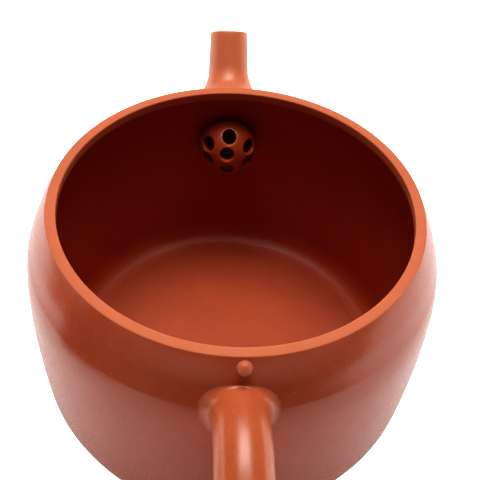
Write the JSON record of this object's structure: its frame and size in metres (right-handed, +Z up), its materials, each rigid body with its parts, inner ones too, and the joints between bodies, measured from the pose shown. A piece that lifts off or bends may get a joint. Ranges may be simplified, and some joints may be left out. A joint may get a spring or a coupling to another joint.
{
  "type": "clay teapot",
  "caption": "Small unglazed red clay teapot with a wide mouth, short straight spout, ball strainer, ear handle and a loose knobbed lid.",
  "frame": {"origin": "centre of the foot ring's resting plane, on the pot's axis", "axes": "+Z up out of the mouth, +X towards the spout, -X towards the handle, lid resting on the table on the +Y side"},
  "size_m": [0.1221, 0.2206, 0.0583],
  "materials": {
    "burnished_wall": "unglazed red stoneware, burnished to a soft sheen",
    "burnished_shoulder": "unglazed red stoneware, burnished to a soft sheen",
    "matte_rim": "unglazed red stoneware, matte, as fired",
    "matte_floor": "unglazed red stoneware, matte, as fired",
    "matte_foot": "unglazed red stoneware, matte, as fired",
    "burnished_spout": "unglazed red stoneware, burnished to a soft sheen",
    "matte_filter": "unglazed red stoneware, matte, as fired",
    "burnished_handle": "unglazed red stoneware, burnished to a soft sheen",
    "burnished_bead": "unglazed red stoneware, burnished to a soft sheen",
    "burnished_lid": "unglazed red stoneware, burnished to a soft sheen",
    "matte_flange": "unglazed red stoneware, matte, as fired",
    "burnished_knob": "unglazed red stoneware, burnished to a soft sheen"
  },
  "bodies": {
    "teapot": {"body_wall": "burnished_wall", "shoulder_plate": "burnished_shoulder", "mouth_ring": "matte_rim", "base_disc": "matte_floor", "foot_ring": "matte_foot", "spout": "burnished_spout", "filter_ball": "matte_filter", "handle": "burnished_handle", "shoulder_bead": "burnished_bead"},
    "lid": {"lid_disc": "burnished_lid", "lid_flange": "matte_flange", "lid_knob": "burnished_knob"}
  },
  "joints": [
    {"name": "lid_swing", "type": "hinge", "parent": "teapot", "child": "lid", "pos_m": [0, 0.07865, 0.0517], "axis": [1, 0, 0], "range_deg": [0, 204.58]}
  ]
}
